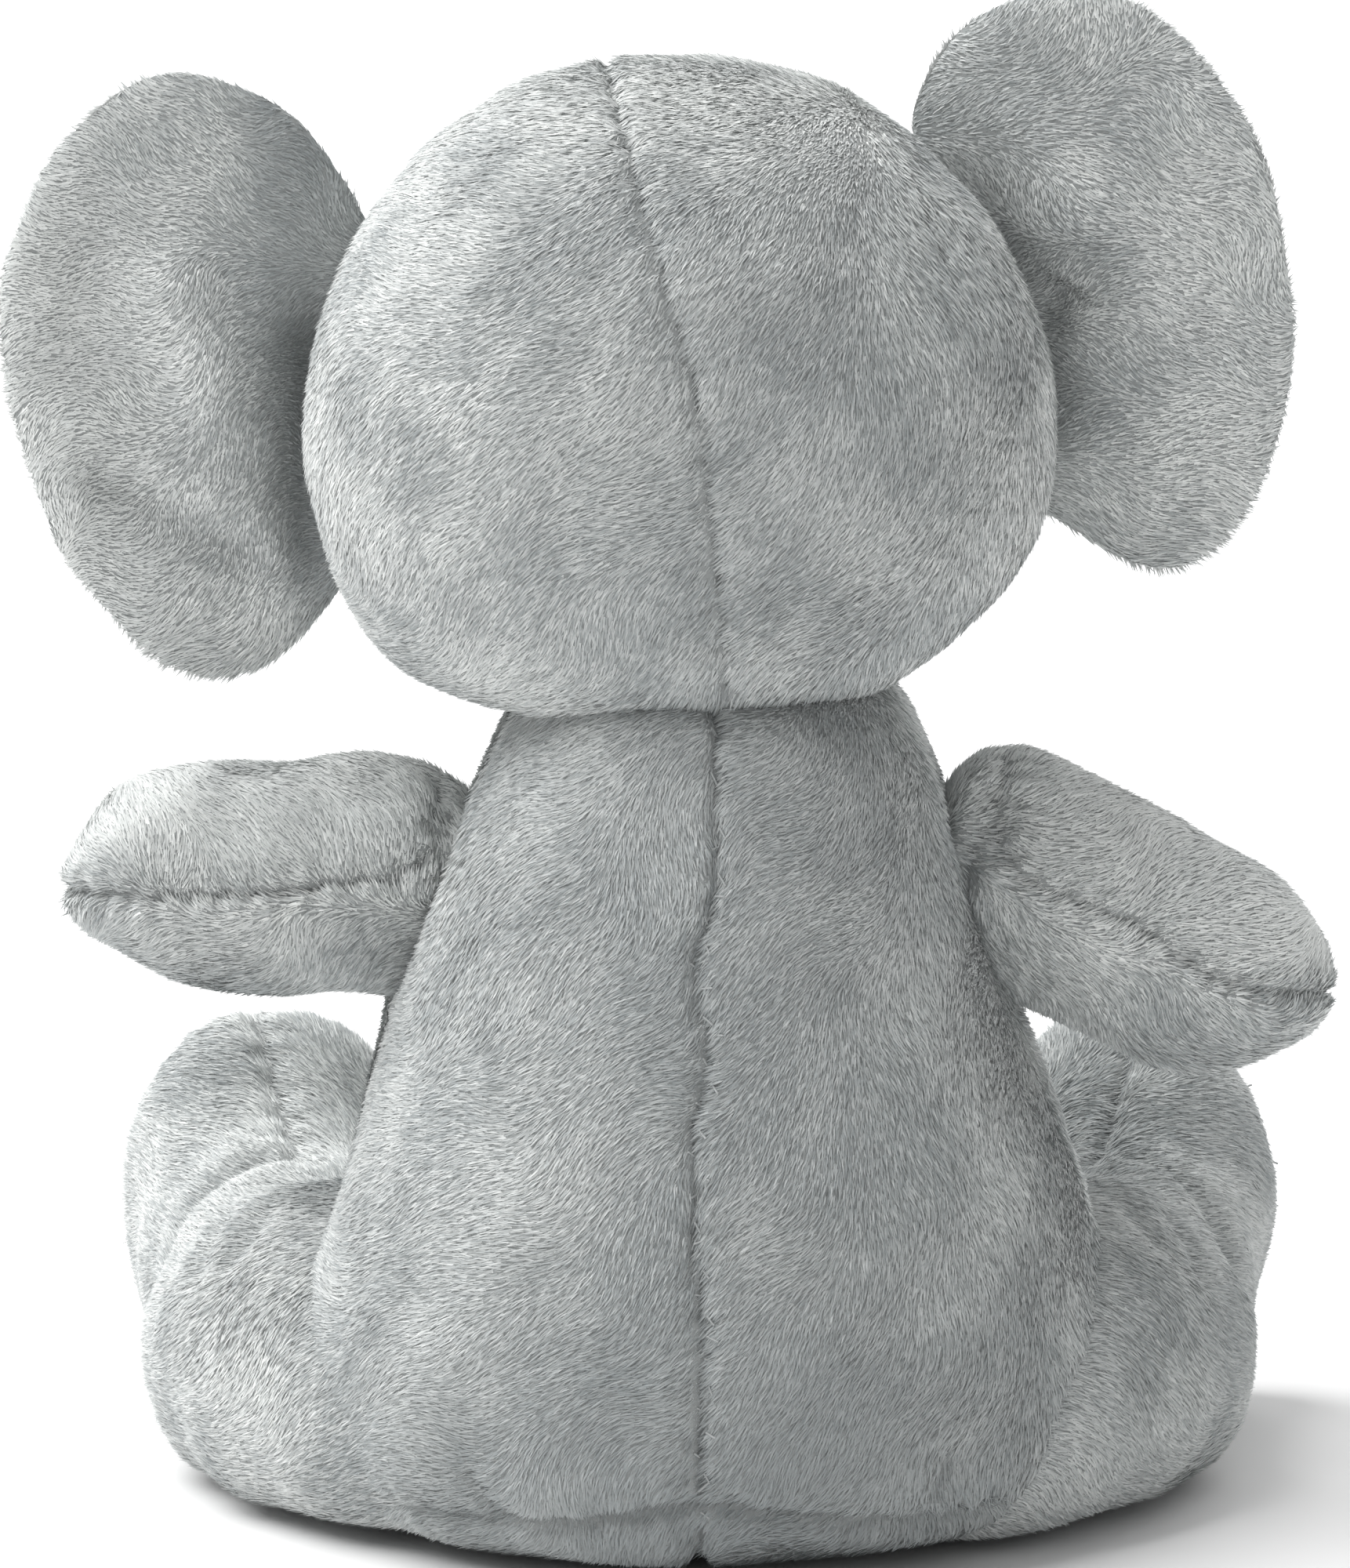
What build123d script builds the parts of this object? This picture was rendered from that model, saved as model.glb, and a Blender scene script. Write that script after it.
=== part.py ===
"""Sitting stuffed elephant: plush fabric panels sewn round stuffing, with soft joints.

Millimetres, +Z up. The elephant faces -Y, so its own left side is +X.
The origin is on the flat underside that it sits on, under the middle of the body.
"""

import os

from build123d import *

os.makedirs("parts", exist_ok=True)

# ---- driving dimensions -------------------------------------------------------
plush = 2.5  # thickness of the fabric: backing and pile
fill_gap = 0.3  # slack between a fabric shell and the stuffing inside it

# body: a pear, turned about the upright axis
body_height = 157.5
body_corners = ((71, 0), (68, 70), (47, body_height))  # (radius, height) before rounding
body_rounding = [20, 30, 20]
base_seam_height = 14  # where the back panels meet the bottom panels

# neck
neck_pivot = Vector(0, 0, 159)
neck_radius = 17
neck_room = 1

# head: a short barrel between two round temples, turned about its sideways axis
head_centre = Vector(5, 0, 221.5)
head_roll = 7  # degrees, the crown leaning towards the left shoulder
head_half_width = 72
head_radius = 61.5
eye_spot = (27, 10)  # sideways and up from the head's centre
eye_radius = 5
eye_shank_radius = 1.5
eye_shank_length = 9
shank_room = 0.2
washer_radius = 6.5
washer_thickness = 1.2
washer_drop = plush + 1  # the washer's face, below the outside of the fabric

# trunk: (forward, up, radius) of its stations, from its root in the face
trunk_root = (0, -70, -14)  # from the head's centre
trunk_stations = ((0, 0, 17), (13, -10, 15.5), (24, -26, 14), (31, -42, 13), (42, -51, 12))
trunk_room = 1.5

# ears: outline beside the head, in the head's own plane, as (sideways, up)
ear_plane_y = -10
ear_thickness = 11
ear_edge_round = 4.5
ear_top_root = (56, 46)
ear_crown_bend = (66, 59)
ear_top = (88, 64)
ear_outermost = (122, 6)
ear_lobe_bend = (113, -34)
ear_bottom = (93, -50)
ear_bottom_root = (66, -42)
ear_root_bend = (75.5, -3)

# arms
shoulder_height = 121
shoulder_spread = 64
shoulder_y = -4
arm_root_radius = 20
arm_paw_radius = 22.5
arm_reach = {"left": 59, "right": 62}
arm_droop = {"left": -1, "right": 23}  # degrees below level
shoulder_room = 2

# legs
hip_spread = 78
hip_y = -32
hip_height = 30.5
leg_root_radius = 30
ankle_radius = 25
ankle_distance = 45
leg_splay = 8  # degrees outwards from straight ahead
foot_width = 52
foot_height = 79
foot_back = 40  # distance from the hip to the back of the foot
foot_front = 72
foot_rise = 10
foot_round = 9
hip_room = 3
sole_thickness = 3
sole_margin = 2.5

# weighted pouch in the seat
pouch_radius = 30
pouch_height = 18
pouch_round = 7

sides = {"left": 1, "right": -1}
halves = {"left": Keep.TOP, "right": Keep.BOTTOM}


# ---- helpers ------------------------------------------------------------------
def save(builder, name):
    """Labels a finished piece and writes it as its own file."""
    builder.part.label = name
    export_step(builder.part, f"parts/{name}.step")


def cut_away(form, *others):
    """A form with the room for its neighbours cut out of it."""
    with BuildPart() as piece:
        add(form)
        for other in others:
            add(other, mode=Mode.SUBTRACT)
    return piece


def half_panel(outside, inside, plane, keep):
    """One of the two fabric panels of a hollow form, on one side of its seam plane."""
    with BuildPart() as piece:
        add(outside)
        split(bisect_by=plane, keep=keep)
        add(inside, mode=Mode.SUBTRACT)
    return piece


def ball(centre, radius):
    """A plain ball, for a rounded root or the hollow that it turns in."""
    with BuildPart(Plane(origin=centre)) as shape:
        Sphere(radius)
    return shape.part


def turned(outline, plane, inset=0, wall=0, start=0, sweep=360, cut=None):
    """A solid turned about a plane's y axis, smaller by an inset on every side.

    The outline draws the right-hand edge from the bottom of the axis to its top. With a wall it is
    a fabric panel that fills a sweep of the turn, above or below a cut across the axis.
    """
    upright = Axis((0, 0, 0), plane.y_dir)
    x_dir, z_dir = plane.x_dir.rotate(upright, start), plane.z_dir.rotate(upright, start)
    with BuildPart() as form:
        with BuildSketch(Plane(origin=plane.origin, x_dir=x_dir, z_dir=z_dir)):
            with BuildLine():
                outline()
                mirror(about=Plane.YZ)
            make_face()
            if inset:
                offset(amount=-inset, mode=Mode.REPLACE)
            if wall:
                offset(amount=-wall, mode=Mode.SUBTRACT)
            split(bisect_by=Plane.YZ, keep=Keep.TOP)
            if cut:
                height, keep = cut
                split(bisect_by=Plane(origin=(0, height, 0), z_dir=(0, 1, 0)), keep=keep)
        revolve(axis=Axis(plane.origin, plane.y_dir), revolution_arc=sweep)
    return form.part


# ---- joint centres ------------------------------------------------------------
shoulders = {s: Vector(k * shoulder_spread, shoulder_y, shoulder_height) for s, k in sides.items()}
hips = {s: Vector(k * hip_spread, hip_y, hip_height) for s, k in sides.items()}


# ---- body ---------------------------------------------------------------------
def body_outline():
    FilletPolyline((0, 0), *body_corners, (0, body_height), radius=body_rounding)


neck_hollow = ball(neck_pivot, neck_radius + neck_room)
arm_hollows = [ball(p, arm_root_radius + shoulder_room) for p in shoulders.values()]
leg_hollows = [ball(p, leg_root_radius + hip_room) for p in hips.values()]
body_hollows = [neck_hollow, *arm_hollows, *leg_hollows]


def body_panel(start, sweep, keep):
    """A panel of the body's skin: a sweep of its turn, above or below the base seam."""
    cut = (base_seam_height, keep)
    return cut_away(turned(body_outline, Plane.XZ, 0, plush, start, sweep, cut), *body_hollows)


save(body_panel(180, 180, Keep.TOP), "belly_panel")
save(body_panel(0, 90, Keep.TOP), "back_panel_left")
save(body_panel(90, 90, Keep.TOP), "back_panel_right")
save(body_panel(-90, 180, Keep.BOTTOM), "bottom_panel_left")
save(body_panel(90, 180, Keep.BOTTOM), "bottom_panel_right")

pouch_floor = plush + fill_gap + 1
with BuildPart() as pellet_pouch:
    with BuildSketch(Plane.XY.offset(pouch_floor)):
        Circle(pouch_radius)
    extrude(amount=pouch_height)
    fillet(pellet_pouch.edges(), pouch_round)
save(pellet_pouch, "pellet_pouch")

with BuildPart() as pouch_room:
    with BuildSketch(Plane.XY.offset(pouch_floor - fill_gap)):
        Circle(pouch_radius + fill_gap)
    extrude(amount=pouch_height + 2 * fill_gap)

body_fill = turned(body_outline, Plane.XZ, plush + fill_gap)
save(cut_away(body_fill, pouch_room.part, *body_hollows), "body_stuffing")

# ---- neck ---------------------------------------------------------------------
with BuildPart(Plane(neck_pivot)) as neck_stuffing:
    Sphere(neck_radius)
save(neck_stuffing, "neck_stuffing")


# ---- head ---------------------------------------------------------------------
head_plane = Plane(origin=head_centre).rotated((0, head_roll, 0))
head_place = head_plane.location
head_sideways = Plane(origin=head_centre, x_dir=head_plane.z_dir, z_dir=head_plane.y_dir)


def head_outline():
    temple = head_half_width - head_radius
    CenterArc((0, -temple), head_radius, -90, 90)
    Line((head_radius, -temple), (head_radius, temple))
    CenterArc((0, temple), head_radius, 0, 90)


head_outside = turned(head_outline, head_sideways, 0)
trunk_centre = (head_place * Pos(*trunk_root)).position

# each eye stands on the face and looks the way that the surface faces there
eye_planes = {}
for side, k in sides.items():
    start = (head_place * Pos(k * eye_spot[0], -2 * head_radius, eye_spot[1])).position
    aim = Axis(start, head_plane.y_dir)
    hits = head_outside.find_intersection_points(aim)
    touch, facing = min(hits, key=lambda hit: (hit[0] - start).length)
    outward = facing if facing.Y < 0 else facing * -1
    eye_planes[side] = Plane(origin=touch, z_dir=outward)

head_hollows = [ball(neck_pivot, neck_radius + neck_room)]
head_hollows.append(ball(trunk_centre, trunk_stations[0][2] + trunk_room))

with BuildPart() as head_stuffing:
    add(turned(head_outline, head_sideways, plush + fill_gap))
    for hollow in head_hollows:
        add(hollow, mode=Mode.SUBTRACT)
    for plane in eye_planes.values():
        with BuildSketch(plane):
            Circle(washer_radius + 1)
        extrude(amount=-(eye_shank_length + 1), mode=Mode.SUBTRACT)
save(head_stuffing, "head_stuffing")

head_seam = Plane(origin=head_centre, z_dir=head_plane.x_dir)
for side, kept in halves.items():
    with BuildPart() as shank_hole:
        with BuildSketch(eye_planes[side].offset(1)):
            Circle(eye_shank_radius + shank_room)
        extrude(amount=-eye_shank_length)
    wall = turned(head_outline, head_sideways, 0, plush, cut=(0, kept))
    save(cut_away(wall, *head_hollows, shank_hole.part), f"head_panel_{side}")

    with BuildPart(eye_planes[side]) as eye:
        Sphere(eye_radius, arc_size1=0, align=(Align.CENTER, Align.CENTER, Align.MIN))
        with BuildSketch(eye_planes[side]):
            Circle(eye_shank_radius)
        extrude(amount=-eye_shank_length)
    save(eye, f"eye_{side}")

    with BuildPart() as washer:
        with BuildSketch(eye_planes[side].offset(-washer_drop)):
            Circle(washer_radius)
            Circle(eye_shank_radius + shank_room, mode=Mode.SUBTRACT)
        extrude(amount=-washer_thickness)
    save(washer, f"eye_washer_{side}")


# ---- trunk --------------------------------------------------------------------
def trunk_form(inset):
    """The curved, tapering trunk: cones between balls, from its root to its tip."""
    centres = [Vector(0, -forward, up) + Vector(*trunk_root) for forward, up, _ in trunk_stations]
    radii = [radius - inset for _, _, radius in trunk_stations]
    with BuildPart() as form:
        for centre, radius in zip(centres, radii):
            add(ball(centre, radius))
        for low, high, start, end in zip(centres, centres[1:], radii, radii[1:]):
            run = high - low
            add(cone(Plane(origin=low, z_dir=run), start, end, run.length))
    return head_place * form.part


def cone(plane, start, end, length):
    """A tapering run along a plane's normal."""
    with BuildPart(plane) as shape:
        Cone(start, end, length, align=(Align.CENTER, Align.CENTER, Align.MIN))
    return shape.part


trunk_forms = trunk_form(0), trunk_form(plush)
for side, kept in halves.items():
    save(half_panel(*trunk_forms, head_seam, kept), f"trunk_panel_{side}")

with BuildPart() as trunk_stuffing:
    add(trunk_form(plush + fill_gap))
save(trunk_stuffing, "trunk_stuffing")


# ---- ears ---------------------------------------------------------------------
def ear_form(k, inset):
    """A flat ear pad on one side of the head, smaller by an inset on every side."""
    with BuildPart() as form:
        with BuildSketch(Plane.XZ.offset(-ear_plane_y)):
            with BuildLine():
                crown = ThreePointArc(ear_top_root, ear_crown_bend, ear_top)
                outer = TangentArc(crown @ 1, ear_outermost, tangent=crown % 1)
                lower = ThreePointArc(outer @ 1, ear_lobe_bend, ear_bottom)
                TangentArc(lower @ 1, ear_bottom_root, tangent=lower % 1)
                ThreePointArc(ear_bottom_root, ear_root_bend, ear_top_root)
            make_face()
            if inset:
                offset(amount=-inset, mode=Mode.REPLACE)
        extrude(amount=ear_thickness / 2 - inset, both=True)
        if not inset:
            flats = form.faces().sort_by(Axis.Y)
            fillet(flats[0].edges() + flats[-1].edges(), ear_edge_round)
        if k < 0:
            mirror(about=Plane.YZ, mode=Mode.REPLACE)
    return head_place * form.part


ear_seam = Plane(origin=(0, ear_plane_y, 0), z_dir=(0, 1, 0))
for side, k in sides.items():
    ear_forms = ear_form(k, 0), ear_form(k, plush)
    save(half_panel(*ear_forms, ear_seam, Keep.TOP), f"ear_{side}_back_panel")
    save(half_panel(*ear_forms, ear_seam, Keep.BOTTOM), f"ear_{side}_front_panel")

    with BuildPart() as ear_wadding:
        add(ear_form(k, plush + fill_gap))
    save(ear_wadding, f"ear_{side}_wadding")


# ---- arms ---------------------------------------------------------------------
for side, k in sides.items():
    heading = Vector(k, 0, 0).rotate(Axis.Y, k * arm_droop[side])
    plane = Plane(origin=shoulders[side], x_dir=heading.cross(Vector(0, 1, 0)), z_dir=(0, 1, 0))
    paw_centre = arm_reach[side] - arm_paw_radius

    def arm_outline():
        CenterArc((0, 0), arm_root_radius, -90, 90)
        Line((arm_root_radius, 0), (arm_paw_radius, paw_centre))
        CenterArc((0, paw_centre), arm_paw_radius, 0, 90)

    for name, start in (("upper", -90 * k), ("lower", 90 * k)):
        with BuildPart() as arm_panel:
            add(turned(arm_outline, plane, 0, plush, start, 180))
        save(arm_panel, f"arm_{side}_{name}_panel")

    with BuildPart() as arm_stuffing:
        add(turned(arm_outline, plane, plush + fill_gap))
    save(arm_stuffing, f"arm_{side}_stuffing")


# ---- legs ---------------------------------------------------------------------
def foot_form(plane, inset):
    """An upright foot, taller than wide, rounded towards the leg."""
    with BuildPart() as form:
        with BuildSketch(plane.offset(foot_back + inset)):
            SlotOverall(foot_height - 2 * inset, foot_width - 2 * inset, rotation=90)
        extrude(amount=foot_front - foot_back - 2 * inset)
        back_face = form.faces().sort_by(Axis(plane.origin, plane.z_dir))[0]
        fillet(back_face.edges(), foot_round - inset)
    return form.part


for side, k in sides.items():
    heading = Vector(0, -1, 0).rotate(Axis.Z, k * leg_splay)
    across = Vector(0, 0, 1).cross(heading)
    leg_plane = Plane(origin=hips[side], x_dir=across, z_dir=heading)
    foot_plane = Plane(origin=hips[side] + Vector(0, 0, foot_rise), x_dir=across, z_dir=heading)
    leg_seam = Plane(origin=hips[side], z_dir=across if across.X * k > 0 else across * -1)

    def leg_form(inset):
        with BuildPart() as form:
            add(ball(hips[side], leg_root_radius - inset))
            add(cone(leg_plane, leg_root_radius - inset, ankle_radius - inset, ankle_distance))
            add(foot_form(foot_plane, inset))
        return form.part

    leg_forms = leg_form(0), leg_form(plush)
    save(half_panel(*leg_forms, leg_seam, Keep.TOP), f"leg_{side}_outer_panel")
    save(half_panel(*leg_forms, leg_seam, Keep.BOTTOM), f"leg_{side}_inner_panel")

    with BuildPart() as leg_stuffing:
        add(leg_form(plush + fill_gap))
    save(leg_stuffing, f"leg_{side}_stuffing")

    with BuildPart() as sole:
        with BuildSketch(foot_plane.offset(foot_front)):
            SlotOverall(foot_height - 2 * sole_margin, foot_width - 2 * sole_margin, rotation=90)
        extrude(amount=sole_thickness)
        front_face = sole.faces().sort_by(Axis(hips[side], heading))[-1]
        fillet(front_face.edges(), sole_thickness * 0.6)
    save(sole, f"leg_{side}_sole")
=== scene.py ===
import math

import bpy
import numpy as np
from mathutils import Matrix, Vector
from mathutils.bvhtree import BVHTree
from mathutils.kdtree import KDTree


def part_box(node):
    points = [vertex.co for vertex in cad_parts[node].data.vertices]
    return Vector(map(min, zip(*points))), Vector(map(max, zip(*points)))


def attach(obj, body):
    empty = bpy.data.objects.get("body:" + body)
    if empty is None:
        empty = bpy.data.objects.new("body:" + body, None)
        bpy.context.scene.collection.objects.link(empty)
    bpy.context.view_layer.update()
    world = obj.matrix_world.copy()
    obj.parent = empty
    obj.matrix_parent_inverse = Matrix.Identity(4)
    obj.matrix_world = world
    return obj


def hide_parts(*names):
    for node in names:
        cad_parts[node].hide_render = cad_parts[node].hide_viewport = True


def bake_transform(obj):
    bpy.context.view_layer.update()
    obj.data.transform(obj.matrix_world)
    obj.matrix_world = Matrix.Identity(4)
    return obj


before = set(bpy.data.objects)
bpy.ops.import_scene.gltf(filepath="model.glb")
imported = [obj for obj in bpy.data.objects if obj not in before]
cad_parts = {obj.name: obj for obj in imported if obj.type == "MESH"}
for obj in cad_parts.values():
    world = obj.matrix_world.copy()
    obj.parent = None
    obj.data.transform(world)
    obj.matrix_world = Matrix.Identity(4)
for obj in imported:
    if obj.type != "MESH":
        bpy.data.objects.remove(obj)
bpy.context.view_layer.update()
mm = 0.001
print("frame loaded")


# small maths


def unit(v):
    v = np.asarray(v, float)
    return v / np.maximum(np.linalg.norm(v, axis=-1, keepdims=True), 1e-12)


def lengths(path):
    # the distance along a path to each of its points
    return np.concatenate([[0], np.cumsum(np.linalg.norm(np.diff(path, axis=0), axis=1))])


def flow(points, count):
    # evenly spaced rows on a smooth curve through the given rows
    p = np.asarray(points, float)
    step = np.linalg.norm(np.diff(p, axis=0), axis=1) ** 0.5
    t = np.concatenate([[0], np.cumsum(np.maximum(step, 1e-6))])
    slope = np.zeros_like(p)
    slope[1:-1] = (p[2:] - p[:-2]) / (t[2:] - t[:-2])[:, None]
    slope[0] = (p[1] - p[0]) / (t[1] - t[0])
    slope[-1] = (p[-1] - p[-2]) / (t[-1] - t[-2])
    fine = np.linspace(0, t[-1], 60 * len(p))
    k = np.clip(np.searchsorted(t, fine, side="right") - 1, 0, len(p) - 2)
    h = (t[k + 1] - t[k])[:, None]
    u = (fine - t[k])[:, None] / h
    rows = (
        (2 * u**3 - 3 * u**2 + 1) * p[k]
        + (u**3 - 2 * u**2 + u) * h * slope[k]
        + (3 * u**2 - 2 * u**3) * p[k + 1]
        + (u**3 - u**2) * h * slope[k + 1]
    )
    run = lengths(rows)
    want = np.linspace(0, run[-1], count)
    return np.stack([np.interp(want, run, rows[:, i]) for i in range(p.shape[1])], 1)


def drift(points, size, seed):
    # a smooth field from about -1 to 1 whose bumps are about size across
    draw = np.random.default_rng(seed)
    total = np.zeros(len(points))
    for _ in range(7):
        way = unit(draw.normal(size=3)) * draw.uniform(0.6, 1.5) * math.tau / (2 * size)
        total += np.sin(points @ way + draw.uniform(0, math.tau))
    return total / 2.4


def bell(x, width):
    return np.exp(-((x / width) ** 2))


def ramp(x, low, high):
    t = np.clip((x - low) / (high - low), 0, 1)
    return t * t * (3 - 2 * t)


headTurn = dict(centre=(5.0, 0.0, 221.5), roll=7.0)


def headPoint(points):
    # head-local millimetres to the shared frame
    p = np.atleast_2d(np.asarray(points, float))
    a = math.radians(headTurn["roll"])
    turned = np.stack(
        [
            p[:, 0] * math.cos(a) + p[:, 2] * math.sin(a),
            p[:, 1],
            -p[:, 0] * math.sin(a) + p[:, 2] * math.cos(a),
        ],
        1,
    )
    return turned + np.array(headTurn["centre"])


def headWay(v):
    return headPoint([v])[0] - np.array(headTurn["centre"])


# meshes


def linked(name, data):
    obj = bpy.data.objects.new(name, data)
    bpy.context.scene.collection.objects.link(obj)
    return obj


def meshFrom(name, points, faces):
    mesh = bpy.data.meshes.new(name)
    mesh.from_pydata([tuple(p) for p in points], [], faces)
    mesh.validate()
    return linked(name, mesh)


def loft(name, rings):
    # rings in order, closed by a point at each end; millimetres in, metres out
    n, m = len(rings), len(rings[0])
    ends = [np.mean(rings[0], 0), np.mean(rings[-1], 0)]
    points = np.concatenate([np.reshape(rings, (-1, 3)), ends])
    faces = []
    for i in range(n - 1):
        for j in range(m):
            k = (j + 1) % m
            faces.append((i * m + j, i * m + k, (i + 1) * m + k, (i + 1) * m + j))
    for j in range(m):
        k = (j + 1) % m
        faces.append((n * m, k, j))
        faces.append((n * m + 1, (n - 1) * m + j, (n - 1) * m + k))
    obj = meshFrom(name, points * mm, faces)
    outward(obj)
    return obj


def outward(obj):
    # faces turned outwards and shaded smooth
    mesh = obj.data
    p = coords(mesh)
    corners = [tuple(f.vertices) for f in mesh.polygons]
    t = np.array([(c[0], c[i], c[i + 1]) for c in corners for i in range(1, len(c) - 1)])
    volume = np.einsum("ij,ij->i", p[t[:, 0]], np.cross(p[t[:, 1]], p[t[:, 2]])).sum()
    if volume < 0:
        mesh.flip_normals()
    for f in mesh.polygons:
        f.use_smooth = True


def coords(mesh):
    out = np.empty(len(mesh.vertices) * 3)
    mesh.vertices.foreach_get("co", out)
    return out.reshape(-1, 3)


def setCoords(mesh, points):
    mesh.vertices.foreach_set("co", np.asarray(points, np.float64).ravel())
    mesh.update()


def normals(mesh):
    out = np.empty(len(mesh.vertices) * 3)
    mesh.vertex_normals.foreach_get("vector", out)
    return out.reshape(-1, 3)


def evaluated(obj, name):
    mesh = bpy.data.meshes.new_from_object(obj.evaluated_get(bpy.context.evaluated_depsgraph_get()))
    mesh.name = name
    return mesh


def finer(obj, levels):
    m = obj.modifiers.new("finer", "SUBSURF")
    m.levels = m.render_levels = levels
    bpy.context.view_layer.update()
    mesh = evaluated(obj, obj.name)
    obj.modifiers.clear()
    obj.vertex_groups.clear()
    obj.data = mesh
    for f in mesh.polygons:
        f.use_smooth = True


coverFrames = 20
coverCloth = dict(
    quality=5,
    mass=0.12,
    tension_stiffness=12,
    compression_stiffness=12,
    shear_stiffness=6,
    bending_stiffness=0.6,
    air_damping=2,
    use_pressure=True,
    uniform_pressure_force=4.0,
    vertex_group_mass="seams",
    pin_stiffness=1,
)


def plump(obj, held, swell, cap):
    # the sewn cover, a little undersized, is blown up by its filling; held vertices are the seams
    mesh = obj.data
    setCoords(mesh, coords(mesh) - normals(mesh) * swell * mm)
    group = obj.vertex_groups.new(name="seams")
    if len(held):
        group.add([int(i) for i in held], 1.0, "REPLACE")
    start = coords(mesh)
    cloth = obj.modifiers.new("filling", "CLOTH")
    for key, value in coverCloth.items():
        setattr(cloth.settings, key, value)
    cloth.settings.effector_weights.gravity = 0
    cloth.collision_settings.use_collision = False
    for f in range(1, coverFrames + 1):
        bpy.context.scene.frame_set(f)
    moved = coords(evaluated(obj, obj.name + "Blown")) - start
    obj.modifiers.clear()
    bpy.context.scene.frame_set(1)
    far = np.linalg.norm(moved, axis=1, keepdims=True)
    moved *= np.minimum(1, cap * mm / np.maximum(far, 1e-9))
    setCoords(mesh, start + moved)


def nearTo(points, path, reach):
    # the points within reach of a path, their distances to it, and the nearest of its points
    tree = KDTree(len(path))
    for i, p in enumerate(path):
        tree.insert(p, i)
    tree.balance()
    lo, hi = path.min(0) - reach, path.max(0) + reach
    close = np.where(np.all((points > lo) & (points < hi), axis=1))[0]
    found = np.array([tree.find(points[i])[1:] for i in close]).reshape(-1, 2)
    which, dist = found[:, 0].astype(int), found[:, 1]
    keep = dist < reach
    return close[keep], dist[keep], which[keep]


def surface(obj):
    mesh = obj.data
    return BVHTree.FromPolygons([v.co for v in mesh.vertices], [tuple(f.vertices) for f in mesh.polygons])


def onto(obj, points):
    # a path of rows in millimetres, laid on the piece's surface every 0.8 mm
    rows = flow(points, max(8, int(lengths(points)[-1] / 0.8))) * mm
    tree = surface(obj)
    return np.array([tuple(tree.find_nearest(Vector(r))[0]) for r in rows])


def sew(obj, path, width, depth, pucker, pitch, seed):
    # pulls the cover in along a seam, with small puckers on both sides of it
    mesh = obj.data
    p, n = coords(mesh), normals(mesh)
    idx, d, which = nearTo(p, path, 5 * width * mm)
    run = lengths(path) / mm
    along = run[which]
    d = d / mm
    tangent = unit(np.gradient(path, axis=0))[which]
    side = np.sign(np.einsum("ij,ij->i", np.cross(tangent, n[idx]), p[idx] - path[which]))
    wobble = drift(path[which] / mm, 9, seed) * 1.4
    wave = np.sin(math.tau * along / pitch + wobble + side * 0.8)
    ends = ramp(along, 0, 6) * ramp(run[-1] - along, 0, 6)
    dip = depth * bell(d, width) + 0.35 * depth * bell(d, 2.6 * width)
    lift = pucker * wave * bell(d - 1.2 * width, 1.6 * width)
    p[idx] += n[idx] * ((lift - dip) * ends)[:, None] * mm
    setCoords(mesh, p)
    # the seam line is kept for thinner pile and for painted shade in its groove
    line = take(mesh, "seam")
    line[idx] = np.maximum(line[idx], bell(d, 0.45 * width) * ends)
    put(mesh, "seam", line)


def take(mesh, name):
    a = mesh.attributes.get(name)
    out = np.zeros(len(mesh.vertices))
    if a:
        a.data.foreach_get("value", out)
    return out


def fold(obj, path, width, depth):
    # a broad soft valley (depth above 0) or ridge (below 0)
    mesh = obj.data
    p, n = coords(mesh), normals(mesh)
    idx, d, which = nearTo(p, path, 3 * width * mm)
    share = which / max(1, len(path) - 1)
    ends = ramp(share, 0, 0.25) * ramp(1 - share, 0, 0.25)
    p[idx] -= n[idx] * (depth * bell(d / mm, width) * ends)[:, None] * mm
    setCoords(mesh, p)


def bend(obj, path, width, depth, way):
    # both faces of a flat piece move together: a crease that is seen from behind as a valley
    mesh = obj.data
    p = coords(mesh)
    way = unit(way)
    flatP = p - np.outer(p @ way, way)
    flatPath = path - np.outer(path @ way, way)
    idx, d, which = nearTo(flatP, flatPath, 3 * width * mm)
    share = which / max(1, len(path) - 1)
    ends = ramp(share, 0, 0.25) * ramp(1 - share, 0, 0.25)
    p[idx] += np.outer(depth * bell(d / mm, width) * ends, way) * mm
    setCoords(mesh, p)


def lumps(obj, size, height, seed):
    # the filling's soft unevenness
    mesh = obj.data
    p, n = coords(mesh), normals(mesh)
    move = height * drift(p / mm, size, seed)
    setCoords(mesh, p + n * move[:, None] * mm)


def layPile(obj, way, swirl, size, seed, **fields):
    # stores which way the pile lies, and its fields: where it grows, where it is the paler lining,
    # how long it is, and its painted shading (painted shade above 0, painted light below 0)
    mesh = obj.data
    p, n = coords(mesh), normals(mesh)
    v = np.asarray(way(p / mm), float) * np.ones((len(p), 3))
    v = unit(v - n * np.einsum("ij,ij->i", v, n)[:, None] + 1e-6)
    turn = swirl * (drift(p / mm, size, seed) + 0.5 * drift(p / mm, size * 0.4, seed + 1))
    w = np.cross(n, v)
    put(mesh, "lay", v * np.cos(turn)[:, None] + w * np.sin(turn)[:, None])
    seam = take(mesh, "seam")
    put(mesh, "seam", seam)
    for name, usual in (("growth", 1), ("lining", 0), ("reach", 1), ("tone", 0)):
        values = fields[name](p / mm, n) if name in fields else np.full(len(p), usual)
        put(mesh, name, values * (1 - 0.7 * seam) if name == "growth" else values)


def put(mesh, name, values):
    # one number or one vector for each vertex
    kind, field = ("FLOAT_VECTOR", "vector") if np.ndim(values) == 2 else ("FLOAT", "value")
    a = mesh.attributes.get(name) or mesh.attributes.new(name, kind, "POINT")
    a.data.foreach_set(field, np.asarray(values, np.float32).ravel())


# materials


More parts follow.
